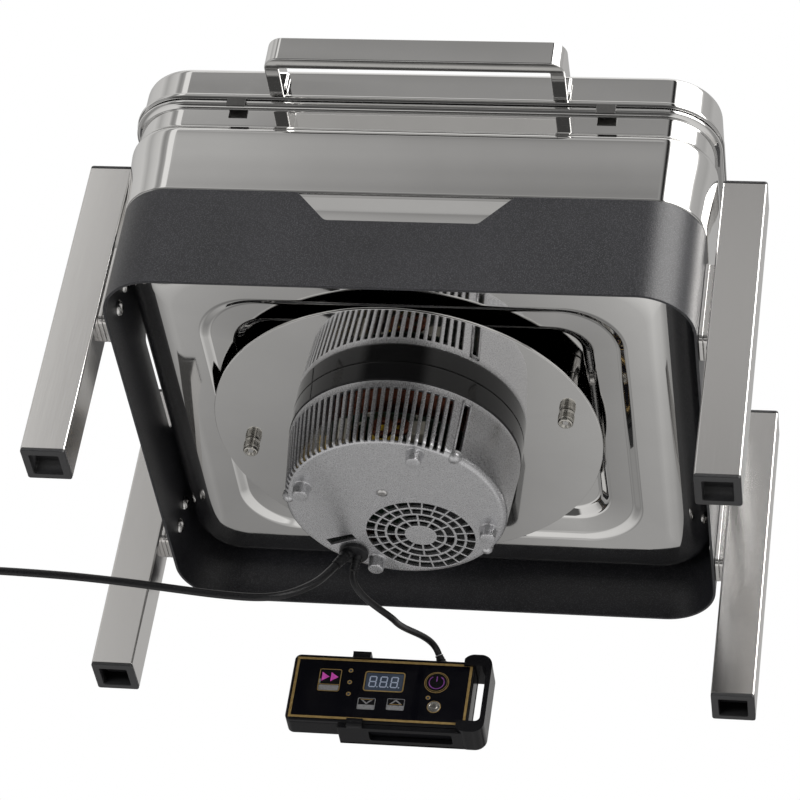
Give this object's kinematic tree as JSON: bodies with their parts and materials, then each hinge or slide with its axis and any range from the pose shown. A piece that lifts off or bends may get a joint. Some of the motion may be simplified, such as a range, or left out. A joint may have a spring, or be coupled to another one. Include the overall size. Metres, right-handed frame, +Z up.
{
  "type": "electric buffet server",
  "caption": "Lidded food warmer on square legs, with a round electric burner hung under its water pan and a wired control box in a cradle.",
  "frame": {"origin": "on the surface that the feet stand on, under the middle of the server's own bounding box, its free leads and plug left out", "axes": "+X to the right, +Y to the rear with the lid's hinge, +Z up, the lid's handle at -Y"},
  "size_m": [0.6537, 0.455, 0.345],
  "materials": {
    "mirror_steel": "mirror polished stainless sheet",
    "polished_steel": "polished stainless",
    "black_powder_coat": "fine satin powder coat",
    "black_cap_plastic": "matt",
    "bright_fastener": "bright zinc",
    "nickel": "bright nickel",
    "silver_plastic": "silver metallic paint, satin",
    "gloss_black_plastic": "high gloss",
    "black_ceramic_glass": "gloss",
    "copper": "enamelled wire",
    "circuit_board": "lacquered",
    "black_moulding": "satin",
    "black_case_plastic": "semi gloss",
    "key_plastic": "gloss film",
    "display_glass": "gloss",
    "black_rubber": "satin"
  },
  "bodies": {
    "server": {"bumper_left": "black_rubber", "bumper_right": "black_rubber", "burner_housing": "silver_plastic", "burner_top_plate": "black_ceramic_glass", "burner_upper_case": "gloss_black_plastic", "cable_grommet": "black_rubber", "circuit_board": "circuit_board", "controller_board": "circuit_board", "controller_cradle": "black_case_plastic", "controller_front_case": "black_case_plastic", "controller_lead": "black_rubber", "controller_rear_case": "black_case_plastic", "controller_strain_relief": "black_rubber", "disc_nut_left": "nickel", "disc_nut_right": "nickel", "disc_stud_left": "bright_fastener", "disc_stud_right": "bright_fastener", "display_window": "display_glass", "fan_motor": "black_moulding", "food_pan": "polished_steel", "foot_cap_front_left": "black_cap_plastic", "foot_cap_front_right": "black_cap_plastic", "foot_cap_rear_left": "black_cap_plastic", "foot_cap_rear_right": "black_cap_plastic", "frame_band": "black_powder_coat", "heating_coil": "copper", "hinge_base": "polished_steel", "hinge_pin": "bright_fastener", "housing_screw": "bright_fastener", "leg_bolt_front_left_lower": "bright_fastener", "leg_bolt_front_left_upper": "bright_fastener", "leg_bolt_front_right_lower": "bright_fastener", "leg_bolt_front_right_upper": "bright_fastener", "leg_bolt_rear_left_lower": "bright_fastener", "leg_bolt_rear_left_upper": "bright_fastener", "leg_bolt_rear_right_lower": "bright_fastener", "leg_bolt_rear_right_upper": "bright_fastener", "leg_front_left": "polished_steel", "leg_front_right": "polished_steel", "leg_rear_left": "polished_steel", "leg_rear_right": "polished_steel", "mains_coil": "black_rubber", "mains_lead": "black_rubber", "mains_plug": "black_rubber", "mounting_disc": "mirror_steel", "power_lamp": "nickel", "top_cap_front_left": "black_cap_plastic", "top_cap_front_right": "black_cap_plastic", "top_cap_rear_left": "black_cap_plastic", "top_cap_rear_right": "black_cap_plastic", "water_pan_body": "mirror_steel"},
    "lid": {"lid_shell": "mirror_steel", "lid_handle": "mirror_steel", "hinge_leaf": "polished_steel"},
    "fan": {"fan_rotor": "black_moulding"},
    "boost_key": {"button_boost": "key_plastic"},
    "down_key": {"button_down": "key_plastic"},
    "up_key": {"button_up": "key_plastic"},
    "power_key": {"button_power": "key_plastic"}
  },
  "joints": [
    {"name": "lid_hinge", "type": "hinge", "parent": "server", "child": "lid", "pos_m": [0, 0.2215, 0.2884], "axis": [-1, 0, 0], "range_deg": [0, 92]},
    {"name": "fan_spin", "type": "hinge", "parent": "server", "child": "fan", "pos_m": [0.003, 0.0455, 0.085], "axis": [0, 0, 1], "continuous": true},
    {"name": "boost_key_press", "type": "slide", "parent": "server", "child": "boost_key", "axis": [0, 1, 0], "range_m": [0, 0.0006], "stiffness_N_per_m": 700},
    {"name": "down_key_press", "type": "slide", "parent": "server", "child": "down_key", "axis": [0, 1, 0], "range_m": [0, 0.0006], "stiffness_N_per_m": 700},
    {"name": "up_key_press", "type": "slide", "parent": "server", "child": "up_key", "axis": [0, 1, 0], "range_m": [0, 0.0006], "stiffness_N_per_m": 700},
    {"name": "power_key_press", "type": "slide", "parent": "server", "child": "power_key", "axis": [0, 1, 0], "range_m": [0, 0.0006], "stiffness_N_per_m": 700}
  ]
}
